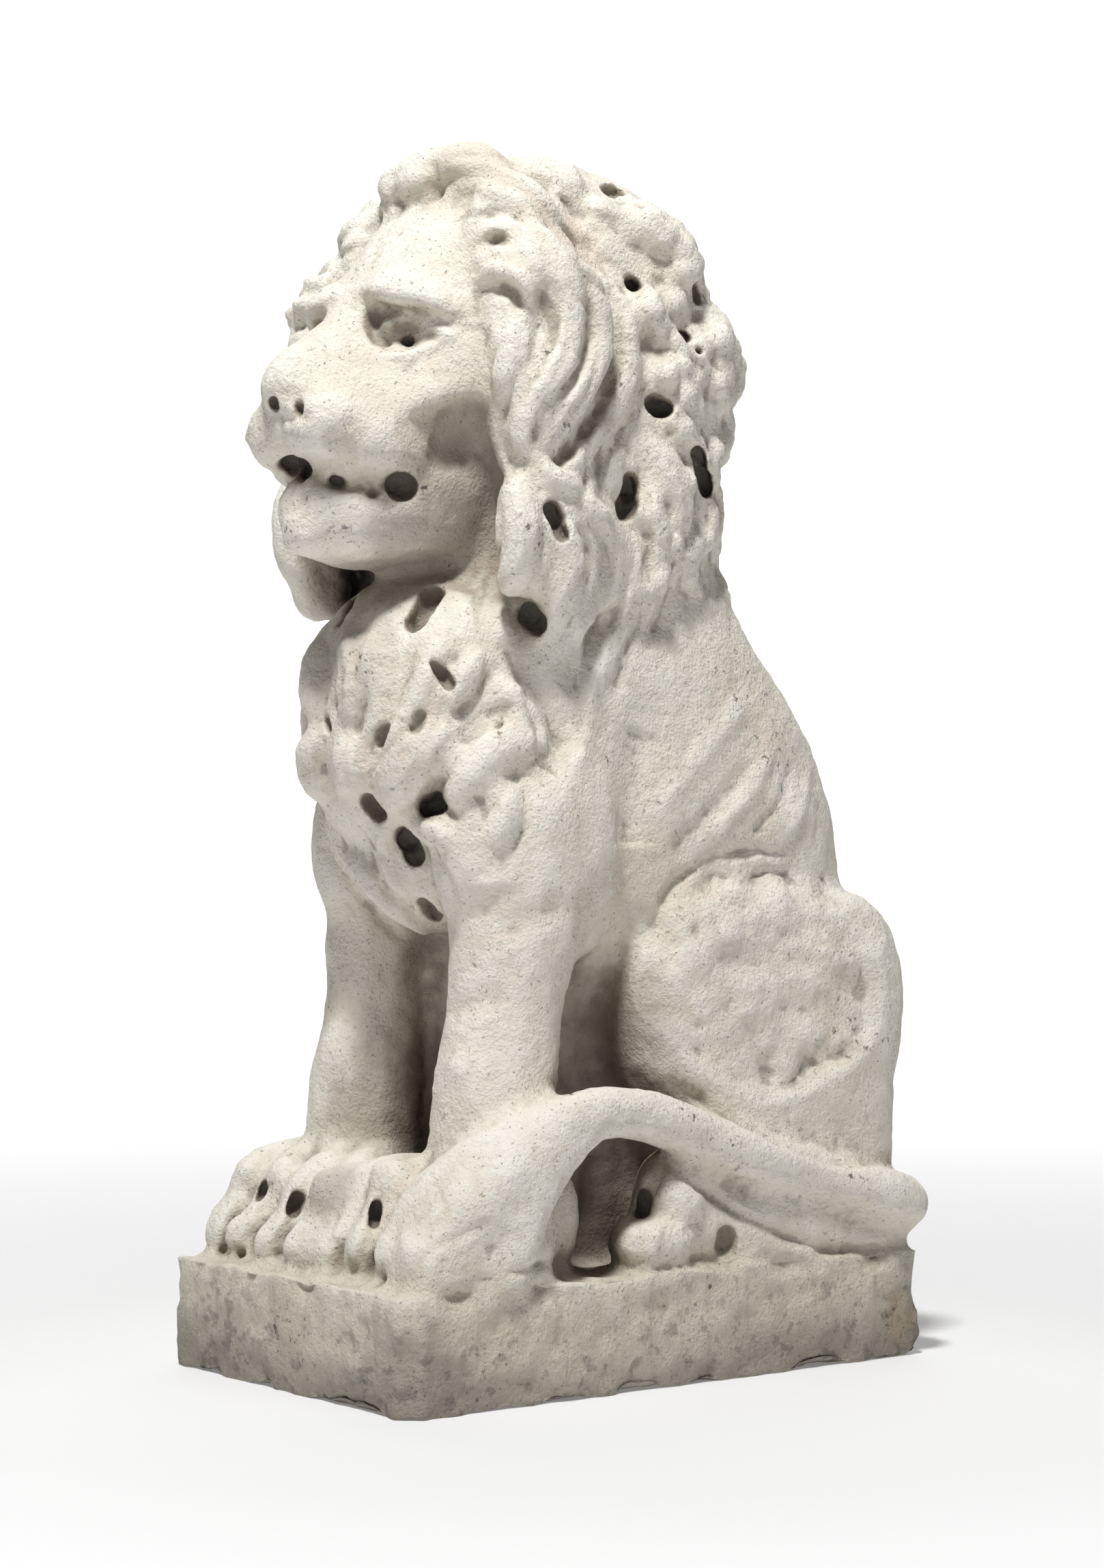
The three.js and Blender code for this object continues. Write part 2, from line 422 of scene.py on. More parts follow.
def mane(clay):
    """The thick collar of hair, the forelock and the tuft below the ear."""
    trunk(clay, [
        (535, -120, 95, 100), (560, -125, 100, 112), (596, -125, 108, 116),
        (640, -120, 117, 118), (684, -112, 124, 118), (720, -108, 133, 119),
        (750, -108, 145, 118), (785, -112, 125, 110), (820, -115, 110, 102),
        (852, -112, 97, 92), (878, -104, 62, 70), (895, -88, 26, 46),
    ], 2.6)
    ball(clay, (98, -96, 726), (30, 46, 98), 2.5)
    ball(clay, (72, -98, 800), (36, 44, 62))
    ball(clay, (108, -102, 604), (25, 42, 56))
    ball(clay, (-106, -116, 726), (32, 48, 100), 2.5)
    ball(clay, (-72, -100, 812), (36, 42, 60))
    ball(clay, (-112, -127, 622), (27, 50, 62))
    limb(clay, [(-24, -122, 866, 18), (0, -118, 878, 21), (40, -106, 868, 19), (66, -96, 850, 18)])
    limb(clay, [(96, -82, 640, 34), (98, -78, 590, 34), (92, -80, 548, 28), (84, -90, 512, 20)])


head_clay = bmesh.new()
head(head_clay)
mane(head_clay)
bmesh.ops.transform(head_clay, matrix=head_matrix, verts=head_clay.verts)
press_on(body_clay, head_clay)

MASS_VOXEL = 4
lion = lump("carved_lion", body_clay)
fuse(lion, MASS_VOXEL, smoothing=8)

# %% [markdown]
# ## Drawing on the stone
# A carver draws each lock on the rough mass before cutting it. Here the drawing is a row of pixels
# of the picture, thrown onto the stone along the camera's rays. Three tools follow a drawing: a
# roll adds a rounded lock, a groove sinks or raises a band of the skin, and a drill makes a hole.
# What is cut on the seen side of the head is repeated on its hidden side.

# %% Throw a drawing on the stone
DRAWING_SPACING = 0.6
head_mirror = head_matrix @ Matrix.Scale(-1, 4, (1, 0, 0)) @ head_matrix.inverted()


def skin_of(piece):
    """The piece's surface in a form that rays can meet."""
    return BVHTree.FromObject(piece, bpy.context.evaluated_depsgraph_get())


def thrown(skin, pixels, step):
    """Rows of (place, outward direction) on the skin along a rounded drawing."""
    path = rounded(pixels, step) if len(pixels) > 1 else np.array(pixels, float)
    rows = []
    for pixel in path:
        place, normal, _, _ = skin.ray_cast(CAMERA_PLACE, ray_through(pixel))
        if place is not None and normal.length > 0.5:
            rows.append((place, normal))
    return rows


def hidden_twin(skin, rows):
    """The same drawing on the hidden side of the head."""
    twins = []
    for place, _ in rows:
        twins.append(skin.find_nearest(head_mirror @ place)[:2])
    return [(place, normal) for place, normal in twins if normal.length > 0.5]


def lines_on(piece, drawings, twins, throw=thrown):
    """Each (width, depth, pixels) drawing as (width, depth, pixels, rows, whether it's a twin)."""
    skin = skin_of(piece)
    for width, depth, pixels in drawings:
        rows = throw(skin, pixels, width * DRAWING_SPACING)
        if rows:
            yield width, depth, pixels, rows, False
            if twins:
                yield width, depth, pixels, hidden_twin(skin, rows), True

# %% [markdown]
# ### Rolls
# A lock is a row of overlapping balls, partly sunk in the skin, that thins towards its ends. The
# back of the mane is outside the picture, so its drawings go round the head by turn and height.

# %% Rolls
def steadied(rows):
    """Evens out the outward directions along a drawing."""
    normals = np.array([normal for _, normal in rows])
    padded = np.vstack([normals[:1]] * 2 + [normals] + [normals[-1:]] * 2)
    evened = sum(padded[i:i + len(normals)] for i in range(5))
    evened /= np.maximum(np.linalg.norm(evened, axis=1), 0.001)[:, None]
    return [(place, Vector(normal)) for (place, _), normal in zip(rows, evened)]


def roll(clay, rows, radius, proud):
    """A rounded lock that stands proud of the skin and thins towards its ends."""
    part = bmesh.new()
    last = max(1, len(rows) - 1)
    for i, (place, normal) in enumerate(rows):
        end = min(i, last - i) / last if len(rows) > 1 else 1
        thickness = radius * (0.6 + 0.4 * min(1, end * 4))
        bead(part, place + normal * (proud - radius) * MM, thickness * MM)
    press_on(clay, part)


def thrown_round(skin, stations, step):
    """Such rows from (turn, height) stations round the mane; turn 0 is straight back."""
    rows = []
    for turn, height in rounded(stations, step):
        outward = Vector((math.sin(math.radians(turn)), math.cos(math.radians(turn)), 0))
        start = Vector((0, -20 * MM, height * MM)) + outward * 0.5
        place, normal, _, _ = skin.ray_cast(start, -outward)
        if place is not None:
            rows.append((place, normal))
    return rows


def rolled(piece, drawings, voxel, smoothing, twins=True, throw=thrown):
    """Adds every (radius, proud, drawing) lock to the piece."""
    clay = bmesh.new()
    for radius, proud, _, rows, _ in lines_on(piece, drawings, twins, throw):
        roll(clay, steadied(rows), radius, proud)
    press_into(piece, clay, voxel, smoothing)

# %% [markdown]
# ### Grooves
# A chisel pushes the skin in along a line. Every point within the groove's half width goes down,
# most in the middle, and the groove runs out gently at both ends.

# %% Grooves by chisel
def points_of(mesh, name="co"):
    """A mesh's points, or their outward directions, as rows of numbers."""
    values = np.empty(len(mesh.vertices) * 3)
    mesh.vertices.foreach_get(name, values)
    return values.reshape(-1, 3)


def grooved(piece, drawings, twins=True):
    """Sinks (or with a negative depth raises) a band of skin along (half width, depth, pixels)."""
    mesh = piece.data
    places = points_of(mesh)
    normals = points_of(mesh, "normal")
    for half_width, depth, _, rows, _ in lines_on(piece, drawings, twins):
        sink(places, normals, steadied(rows), half_width * MM, depth * MM)
    mesh.vertices.foreach_set("co", places.ravel())
    mesh.update()


def sink(places, normals, line, half_width, depth):
    """Moves the places near a line against its outward directions."""
    spots = np.array([place for place, _ in line])
    outward = np.array([normal for _, normal in line])
    near = np.all((places > spots.min(0) - half_width) & (places < spots.max(0) + half_width), 1)
    chosen = np.nonzero(near)[0]
    gaps = np.linalg.norm(places[chosen, None] - spots[None], axis=2)
    nearest = gaps.argmin(1)
    reach = gaps.min(1) / half_width
    facing = np.einsum("ij,ij->i", normals[chosen], outward[nearest])
    use = (reach < 1) & (facing > 0)
    chosen, nearest, reach = chosen[use], nearest[use], reach[use]
    last = max(1, len(line) - 1)
    end = np.minimum(nearest, last - nearest) / last if len(line) > 1 else np.ones(len(nearest))
    taper = np.clip(end * 5 + 0.25, 0, 1)
    fall = ((1 - reach ** 2) ** 2 + (1 - reach) ** 2) / 2 * taper * depth
    places[chosen] -= outward[nearest] * fall[:, None]

# %% [markdown]
# ### Drill
# A running drill leaves round holes and short slots. The bits are modelled as solid plugs, melted
# together and taken out of the stone in one cut.

# %% Drill bits
BIT_VOXEL = 1.6
BIT_STEPS = 6
BIT_LEAD = 0.35
BIT_TAPER = 0.2


def drilled(piece, drawings, twins=True):
    """Drills a hole or slot along each (radius, depth, pixels)."""
    clay = bmesh.new()
    for radius, depth, pixels, rows, is_twin in lines_on(piece, drawings, twins):
        inward = ray_through(pixels[0])
        if is_twin:
            inward = head_mirror.to_3x3() @ inward
        part = bmesh.new()
        for place, normal in rows:
            into = (inward - normal).normalized()
            for share in np.linspace(-BIT_LEAD, 1, BIT_STEPS):
                centre = place + into * (depth - radius * 0.8) * share * MM
                bead(part, centre, radius * (1 - BIT_TAPER * max(0, share)) * MM)
        press_on(clay, part)
    bit = lump("drill bits", clay)
    fuse(bit, BIT_VOXEL, smoothing=1)
    cut = piece.modifiers.new("drill", "BOOLEAN")
    cut.operation = "DIFFERENCE"
    cut.solver = "MANIFOLD"
    cut.object = bit
    baked(piece)
    bpy.data.objects.remove(bit)

# %% [markdown]
# ## Locks and features
# Each roll is (radius, how far it stands proud, pixels), in millimetres. The paws come first: every
# toe has a knuckle and a claw. The hidden hind paw keeps the plain shape of its mass.

# %% Paws
LOCK_VOXEL = 2.6
PAW_ROLLS = [
    # knuckles and claws of the far paw
    (13, 8, [(372, 1700), (360, 1722)]),
    (13, 9, [(424, 1704), (410, 1730)]),
    (13, 8, [(478, 1722), (466, 1750)]),
    (10, 7, [(346, 1790), (340, 1820)]),
    (10, 7, [(388, 1800), (380, 1836)]),
    (10, 7, [(432, 1806), (424, 1842)]),
    (9, 6, [(474, 1820), (466, 1850)]),
    # knuckles and claws of the near paw
    (15, 9, [(556, 1716), (590, 1722)]),
    (12, 7, [(530, 1800), (520, 1842)]),
    (12, 7, [(568, 1810), (560, 1856)]),
    (11, 6, [(602, 1800), (598, 1850)]),
    # hind paw
    (24, 12, [(975, 1735), (1010, 1765)]),
    (14, 9, [(930, 1800), (914, 1836)]),
    (14, 10, [(962, 1800), (952, 1842)]),
    (14, 9, [(998, 1798), (986, 1842)]),
]
rolled(lion, PAW_ROLLS, LOCK_VOXEL, smoothing=1, twins=False)

# %% [markdown]
# ### Face and mane
# Rolls raise the brow, the nose wing, the lips and the rims of the ear. Long locks fall beside the
# face to a tuft by the jaw, curls fill the mane behind, and clumps stand on its skyline.

# %% Rolls on the head
FACE_ROLLS = [
    # brow
    (9, 8, [(528, 422), (556, 426), (590, 434), (630, 442), (672, 456)]),
    # nose wing, lips, corner of the mouth, chin
    (5, 2, [(444, 580), (456, 592), (452, 606)]),
    (10, 3, [(445, 640), (480, 666), (520, 678), (552, 676)]),
    (6, 3, [(556, 672), (575, 662), (600, 660), (618, 674), (624, 694)]),
    (11, 3, [(446, 784), (452, 792)]),
    # ear rims
    (7, 9, [(703, 383), (739, 370), (770, 377), (786, 403), (790, 432)]),
    (6, 10, [(704, 411), (733, 398), (758, 408), (775, 436)]),
]
LOCK_ROLLS = [
    # curl over the ear
    (8, 8, [(700, 345), (728, 332), (762, 345), (786, 372)]),
    # locks beside the face
    (14, 8, [(741, 466), (748, 492), (744, 537), (730, 582)]),
    (14, 14, [(770, 330), (800, 362), (822, 410), (830, 460), (820, 520), (796, 566), (776, 606),
              (768, 640), (788, 676)]),
    (15, 15, [(820, 372), (850, 410), (868, 455), (870, 515), (848, 565), (816, 612), (800, 655)]),
    (14, 13, [(880, 412), (906, 465), (914, 515), (906, 573), (880, 615), (855, 655), (829, 690)]),
    (9, 10, [(790, 684), (812, 700), (842, 714)]),
    # strands from the forehead back over the ear
    (11, 9, [(640, 300), (690, 286), (740, 292), (780, 320)]),
    (11, 8, [(650, 262), (705, 256), (765, 272), (806, 312), (838, 352)]),
    (12, 9, [(730, 236), (780, 250), (826, 290)]),
    # lower tuft
    (13, 10, [(752, 712), (764, 760), (762, 810), (742, 868), (734, 930)]),
    (13, 10, [(858, 732), (886, 770), (896, 815), (884, 865), (856, 915)]),
    (11, 10, [(832, 780), (840, 825), (820, 880), (790, 935)]),
    (11, 8, [(905, 770), (925, 820), (918, 880), (890, 950), (868, 1020)]),
    (11, 8, [(952, 760), (960, 820), (945, 880), (920, 940)]),
    # curls behind
    (24, 14, [(905, 320), (950, 345), (985, 380), (1000, 425)]),
    (14, 9, [(896, 462), (940, 462), (985, 448), (1005, 425)]),
    (22, 10, [(1030, 470), (1052, 510), (1058, 560), (1040, 605)]),
    (15, 10, [(930, 560), (962, 548), (1000, 565), (1012, 600), (998, 640)]),
    (18, 11, [(960, 655), (975, 690), (992, 735), (985, 795)]),
    (15, 7, [(1062, 670), (1062, 720), (1052, 770)]),
    (11, 7, [(893, 640), (890, 690), (886, 745), (905, 790)]),
    # clumps on the skyline
    (14, 8, [(612, 262), (602, 292)]),
    (20, 9, [(640, 244), (690, 226), (735, 248)]),
    (15, 10, [(768, 240), (782, 262)]),
    (13, 11, [(826, 246), (836, 272)]),
    (15, 11, [(882, 246), (906, 266)]),
    (13, 8, [(870, 300), (905, 316)]),
    (15, 6, [(560, 305), (525, 322), (510, 360), (512, 385)]),
]
rolled(lion, FACE_ROLLS + LOCK_ROLLS, LOCK_VOXEL, smoothing=1)

# %% [markdown]
# ### Chest
# Thick tufts overlap down the chest to a point between the forelegs.

# %% Rolls on the chest
CHEST_ROLLS = [
    # tufts in the light
    (13, 12, [(640, 950), (628, 1000), (612, 1040), (590, 1085), (558, 1140)]),
    (11, 11, [(700, 960), (676, 1000), (652, 1040)]),
    (18, 16, [(660, 1060), (626, 1100), (592, 1140), (580, 1176)]),
    (20, 18, [(785, 1085), (742, 1090), (695, 1125), (672, 1165)]),
    (14, 13, [(742, 1010), (762, 1050), (778, 1085)]),
    (12, 12, [(610, 1206), (636, 1212), (652, 1228)]),
    (12, 10, [(600, 1236), (624, 1290), (640, 1345)]),
    (12, 9, [(728, 1150), (742, 1190), (725, 1235)]),
    # far side of the chest
    (14, 11, [(470, 940), (458, 1000), (460, 1050)]),
    (16, 13, [(462, 1075), (458, 1120), (470, 1165)]),
    (15, 11, [(500, 1090), (515, 1125), (500, 1155)]),
    (12, 10, [(508, 930), (512, 985), (505, 1040)]),
    (11, 9, [(545, 940), (545, 985), (535, 1030)]),
    (11, 10, [(484, 1208), (534, 1275), (570, 1320), (620, 1362)]),
    (10, 9, [(560, 1215), (575, 1270), (600, 1310)]),
]
rolled(lion, CHEST_ROLLS, LOCK_VOXEL, smoothing=1, twins=False)

# %% [markdown]
# The back of the mane isn't seen. Rows of waving locks hang there, plainer than the seen ones.

# %% Locks on the back of the head
TIERS = [(872, 792), (800, 716), (724, 640), (650, 566)]
TURN_BETWEEN_LOCKS = 21
BACK_LOCK_RADIUS = 15
BACK_LOCK_PROUD = 9
BACK_LOCK_SWAY = 7
back_locks = []
for tier, (top, bottom) in enumerate(TIERS):
    for number in range(-3, 4):
        turn = number * TURN_BETWEEN_LOCKS + 10 * (tier % 2)
        sway = BACK_LOCK_SWAY if number % 2 else -BACK_LOCK_SWAY
        back_locks.append((BACK_LOCK_RADIUS, BACK_LOCK_PROUD, [
            (turn, top), (turn + sway, (top * 2 + bottom) / 3),
            (turn - sway, (top + bottom * 2) / 3), (turn + sway, bottom),
        ]))
rolled(lion, back_locks, LOCK_VOXEL, smoothing=1, twins=False, throw=thrown_round)

# %% [markdown]
# ## Grooves
# Each groove is (half width, depth, pixels), in millimetres. A negative depth raises a ridge. The
# hair is combed first: a crease on each side of every lock and two strands along its back.

# %% Comb the hair
PIXELS_PER_MM = 2.3
STRANDS = [(-1.15, 3.4, 6), (-0.4, 2.6, 2.6), (0.4, 2.6, 2.6), (1.15, 3.4, 6)]


def combed(locks):
    """Grooves (half width, depth, pixels) beside and along each lock."""
    cuts = []
    for radius, _, pixels in locks:
        line = np.array(pixels, float)
        along = np.gradient(line, axis=0)
        along /= np.linalg.norm(along, axis=1)[:, None]
        aside = np.column_stack([-along[:, 1], along[:, 0]])
        for share, half_width, depth in STRANDS:
            shifted = line + aside * share * radius * PIXELS_PER_MM
            cuts.append((half_width, depth, [tuple(place) for place in shifted]))
    return cuts


grooved(lion, combed(LOCK_ROLLS))
grooved(lion, combed(CHEST_ROLLS), twins=False)

# %% [markdown]
# ### Face, ears and locks
# The eye lies deep under the brow and the cheek is hollow under its bone. The cleft of the lip and
# the underside of the nose lie in the middle, so they have no twin.

# %% Grooves on the head
HEAD_GROOVES = [
    # eye socket
    (21, 9, [(566, 480), (590, 486), (620, 488)]),
    (11, 14, [(541, 448), (549, 474), (563, 502)]),
    (7, 7, [(548, 448), (576, 456), (610, 462), (640, 468)]),
    # nose and muzzle
    (3.5, 3, [(455, 586), (462, 600), (452, 612), (440, 622)]),
    (6, 2.5, [(484, 551), (496, 561)]),
    (3.5, 2.6, [(449, 629), (483, 632), (509, 625), (532, 625)]),
    (3.5, 2.2, [(556, 612), (595, 592), (650, 572)]),
    (3.5, 2.6, [(466, 652), (493, 642), (516, 645), (536, 635)]),
    (6, 11, [(458, 692), (480, 706), (500, 710), (536, 708), (566, 708), (600, 714)]),
    (4, 1.5, [(496, 785), (483, 818)]),
    (4, 1.5, [(513, 775), (496, 811)]),
    (4, -2, [(536, 748), (576, 755), (619, 755)]),
    (14, -3, [(560, 612), (600, 594), (650, 579), (705, 572)]),
    (30, 8, [(625, 640), (662, 650), (700, 660)]),
    (20, 6, [(600, 622), (655, 608), (712, 598)]),
    # ear
    (9, 5, [(712, 362), (728, 354), (745, 357), (760, 368)]),
    (8, 9, [(722, 420), (744, 424), (757, 440), (752, 452)]),
    # face and first lock, and between the locks
    (5, 4, [(719, 444), (733, 458), (735, 488), (724, 517), (716, 552), (713, 579)]),
    (6, 8, [(793, 403), (806, 457), (806, 510), (786, 550), (757, 595)]),
    (5, 7, [(851, 533), (826, 568), (795, 609), (782, 655)]),
    (6, 8, [(891, 573), (864, 618), (832, 662), (815, 680)]),
    (5, 3, [(730, 309), (779, 327), (802, 359), (812, 395)]),
    (6, 6, [(857, 403), (885, 425), (901, 444)]),
    (6, 5, [(930, 660), (945, 720), (950, 790), (940, 850)]),
    (4, 4, [(942, 549), (946, 580)]),
    (5, 4, [(942, 417), (963, 409), (983, 417)]),
    (20, 8, [(815, 292), (840, 300), (868, 315)]),
    (20, 5, [(850, 345), (870, 375)]),
]
MIDDLE_GROOVES = [
    (3, 3, [(409, 608), (414, 630), (416, 655)]),
    (3, 3, [(429, 609), (427, 630), (426, 655)]),
    (6, 3, [(396, 571), (420, 577), (448, 578)]),
    (4, 6, [(388, 604), (409, 612), (432, 614), (452, 608)]),
]
grooved(lion, HEAD_GROOVES)
grooved(lion, MIDDLE_GROOVES, twins=False)

# %% [markdown]
# ### Body
# The ribs show faintly on the flank. Grooves part the toes, free the tail from the wall below it
# and mark the broken edge of its tuft.

# %% Grooves on the body
BODY_GROOVES = [
    # chest
    (8, 6, [(686, 1030), (668, 1052), (655, 1064)]),
    (6, 5, [(718, 1060), (700, 1075), (672, 1088)]),
    (6, 6, [(491, 945), (494, 1004), (489, 1044)]),
    (7, 8, [(534, 990), (527, 1048), (518, 1079)]),
    (18, 8, [(822, 1066), (815, 1100), (808, 1135)]),
    (10, -4, [(851, 968), (864, 1021), (860, 1079), (837, 1129)]),
    (9, 7, [(739, 945), (766, 1000), (790, 1060), (800, 1120)]),
    (6, -3, [(846, 890), (850, 930), (842, 985)]),
    # hollow between shoulder and flank
    (34, 9, [(945, 1060), (932, 1160), (925, 1250)]),
    # ribs
    (16, -4, [(1100, 1020), (1030, 1105), (975, 1175)]),
    (11, 4, [(1105, 1110), (1052, 1178), (985, 1243)]),
    (12, -4, [(1130, 1100), (1098, 1162), (1040, 1228)]),
    (9, 3.5, [(1163, 1115), (1142, 1180), (1098, 1228)]),
    (9, -3, [(1188, 1115), (1176, 1180), (1150, 1230)]),
    (8, 2, [(1204, 1170), (1198, 1240)]),
    (7, 6, [(958, 1360), (984, 1300), (1038, 1262), (1098, 1246), (1168, 1256)]),
    # forearm, wrist and ankle
    (20, -5, [(655, 1555), (690, 1575)]),
    (16, 4, [(660, 1480), (700, 1470), (740, 1450)]),
    (18, 4, [(740, 1370), (790, 1340), (830, 1330)]),
    (12, -3, [(700, 1300), (760, 1280)]),
    # toes
    (5, 6, [(404, 1716), (392, 1745), (372, 1790), (356, 1830)]),
    (5, 6, [(452, 1730), (436, 1765), (418, 1800), (398, 1838)]),
    (5, 5, [(500, 1760), (484, 1800), (466, 1845)]),
    (5, 6, [(562, 1740), (552, 1775), (540, 1815), (522, 1858)]),
    # both edges of the tail
    (6, 8, [(985, 1704), (1021, 1734), (1095, 1783), (1205, 1828), (1290, 1830), (1335, 1812)]),
    (5, 6, [(985, 1586), (1040, 1620), (1095, 1651), (1205, 1698), (1315, 1702)]),
    # toes of the hind paw and the hollow before it
    (4, 5, [(944, 1800), (938, 1846)]),
    (4, 5, [(978, 1796), (968, 1848)]),
    (4, 4, [(1012, 1790), (1002, 1846)]),
    (8, 7, [(964, 1709), (952, 1740), (940, 1765)]),
    (16, 8, [(870, 1690), (862, 1740), (856, 1800)]),
    (5, 6, [(740, 1868), (790, 1852), (850, 1838), (900, 1846)]),
    # edge of the tuft and the layer under it
    (4, 5, [(604, 1886), (622, 1840), (656, 1818), (694, 1801), (718, 1785)]),
    (3, 4, [(640, 1868), (652, 1850), (664, 1842)]),
    (6, 3, [(640, 1740), (655, 1770), (640, 1800)]),
    # line between the wall and the block
    (3, 2.5, [(1057, 1848), (1120, 1842), (1180, 1842), (1240, 1838)]),
]
grooved(lion, BODY_GROOVES, twins=False)

# %% [markdown]
# The eyeball and its lids are modelled in the hollow under the brow once it has been sunk.

# %% Eyes
EYE_ROLLS = [
    (14, 4, [(592, 498), (606, 498)]),
    (4, 5, [(556, 500), (562, 482), (578, 468), (598, 464), (622, 470), (646, 486), (664, 494)]),
    (4, 4, [(566, 522), (588, 524), (614, 515), (650, 500)]),
]
EYE_VOXEL = 2.2
rolled(lion, EYE_ROLLS, EYE_VOXEL, smoothing=1)

# %% [markdown]
# ## Drill holes
# The carver used a running drill for the pupils, the mouth and the deep shadows in the mane. Each
# hole is (radius, depth, pixels), in millimetres.

# %% Drill
HEAD_HOLES = [
    (5, 12, [(596, 498)]),
    (4, 5, [(567, 504)]),
    (5.5, 12, [(489, 706), (497, 708)]),
    (10, 20, [(582, 711), (592, 712)]),
    (6, 8, [(546, 718)]),
    (8, 20, [(811, 745), (818, 760)]),
    (6, 14, [(820, 770), (823, 782)]),
    (9, 14, [(776, 900), (786, 914)]),
    (8, 20, [(926, 417)]),
    (4, 10, [(1018, 418), (1024, 440)]),
    (7, 18, [(1002, 492)]),
    (4.5, 12, [(1025, 512)]),
    (8, 18, [(958, 593), (972, 598)]),
    (6, 18, [(1024, 662), (1028, 690), (1035, 718)]),
    (9, 20, [(925, 705), (922, 728), (915, 746)]),
    (7, 12, [(893, 279), (912, 273)]),
    (4, 8, [(940, 298)]),
]
BODY_HOLES = [
    # nostrils, the middle of the mouth and the chest
    (4.5, 12, [(399, 589), (400, 598)]),
    (5.5, 12, [(436, 593), (436, 601)]),
    (8, 18, [(420, 686), (436, 680), (446, 690)]),
    (10, 20, [(632, 868), (619, 892), (608, 908)]),
    (4, 14, [(518, 842), (521, 865), (509, 896), (498, 915)]),
    (5, 9, [(637, 972), (650, 990), (658, 1003)]),
    (5, 7, [(617, 1046), (606, 1068)]),
    (7, 9, [(564, 1072), (557, 1084)]),
    (4, 7, [(730, 1062)]),
    (4, 8, [(476, 1050), (481, 1068)]),
    (8, 16, [(538, 1177), (551, 1192)]),
    (9, 18, [(631, 1182), (642, 1176)]),
    (8, 16, [(594, 1226), (608, 1254)]),
    (9, 16, [(621, 1328), (632, 1345)]),
    # paws, and the wall under the tail
    (5, 14, [(384, 1734), (378, 1750)]),
    (6, 14, [(437, 1754), (430, 1772)]),
    (5, 14, [(552, 1766), (548, 1792)]),
    (5, 9, [(328, 1831)]),
    (5, 9, [(352, 1836)]),
    (4, 7, [(408, 1838)]),
    (4, 8, [(562, 1876)]),
    (6, 14, [(941, 1754), (939, 1774)]),
    (9, 13, [(1065, 1812), (1064, 1824)]),
]
drilled(lion, HEAD_HOLES)
drilled(lion, BODY_HOLES, twins=False)

# %% [markdown]
# The block's edges were softened with the clay, so its true faces are laid over them again.

# %% True the block
BLOCK_VOXEL = 2.3
block = bmesh.new()
plinth(block)
press_into(lion, block, BLOCK_VOXEL, smoothing=1)

# %% [markdown]
# ## Weather and breakage
# Rain has eaten the surface into soft waves and grit, most of all near the ground. The waves are
# seeded, so they are the same each time.

# %% Waves
GRID = 32
random_heights = np.random.default_rng(7).uniform(-1, 1, (GRID, GRID, GRID))


def waves(places, size):
    """Smooth noise from -1 to 1 whose bumps are about the given size in millimetres."""
    cells = places / (size * MM)
    base = np.floor(cells).astype(int)
    part = cells - base
    part = part * part * (3 - 2 * part)
    total = np.zeros(len(places))
    for corner in np.ndindex(2, 2, 2):
        weight = np.prod(np.where(corner, part, 1 - part), axis=1)
        x, y, z = ((base + corner) % GRID).T
        total += weight * random_heights[x, y, z]
    return total


mesh = lion.data
places = points_of(mesh)
outward = points_of(mesh, "normal")
WORN_HEIGHT = 95
WORN_FADE = 20
low = np.clip((WORN_HEIGHT * MM - places[:, 2]) / (WORN_FADE * MM), 0, 1)
swell = 1.5 * waves(places, 34)
ripple = (0.6 + 1.6 * low) * waves(places, 14)
grit = 0.55 * waves(places, 6)
depth = swell + ripple + grit

# %% [markdown]
# ### Chips
# The block's edges have been knocked. A point that is near two faces of the block at once is near
# an edge, and some stretches of every edge are broken back.

# %% Chipped edges
CHIP_REACH = 14
CHIP_DEPTH = 9
CHIP_SIZE = 24
CHIP_TOP = 90
beside_block = np.abs(places[:, 0]) - PLINTH_WIDTH / 2 * MM
before_block = np.abs(places[:, 1]) - PLINTH_LENGTH / 2 * MM
over_block = np.minimum(places[:, 2], np.abs(places[:, 2] - PLINTH_HEIGHT * MM))
to_faces = np.abs(np.column_stack([beside_block, before_block, over_block]))
to_edge = np.sort(to_faces, axis=1)[:, 1] / MM
broken = np.clip(waves(places, CHIP_SIZE) + 0.15, 0, 1)
chips = np.clip(1 - to_edge / CHIP_REACH, 0, 1) * broken
depth -= CHIP_DEPTH * chips * (places[:, 2] < CHIP_TOP * MM)
shift = outward * depth[:, None]

# %% [markdown]
# ### Scar
# The outer face of the left haunch has broken away and left a rough oval scar, flatter than the
# muscle was. Its edge wanders a little, as a fracture does.

# %% Scar on the haunch
SCAR_MIDDLE = (134, 108, 286)
SCAR_HALF_LENGTH = 112
SCAR_HALF_HEIGHT = 92
SCAR_DEPTH = 7
SCAR_INNER_X = 100
across = (places[:, 1] / MM - SCAR_MIDDLE[1]) / SCAR_HALF_LENGTH
up = (places[:, 2] / MM - SCAR_MIDDLE[2]) / SCAR_HALF_HEIGHT
reach = np.hypot(across, up) + 0.14 * waves(places, 30)
left_face = (places[:, 0] > SCAR_INNER_X * MM) * (outward[:, 0] > 0)
scar = np.clip((1 - reach) * 7, 0, 1) * left_face
rough = 4 * np.abs(waves(places, 40)) + 3 * waves(places, 20) + 1.3 * waves(places, 9)
flattened = np.maximum(0, places[:, 0] / MM - SCAR_MIDDLE[0]) * 0.7
shift[:, 0] += scar * (rough - SCAR_DEPTH - flattened)
places += shift * MM
places[:, 2] = np.maximum(places[:, 2], 0)
mesh.vertices.foreach_set("co", places.ravel())
mesh.update()
print("points in the scar:", int((scar > 0).sum()))

# %% [markdown]
# The skin is thinned where it is smooth, so the small cuts keep their points.

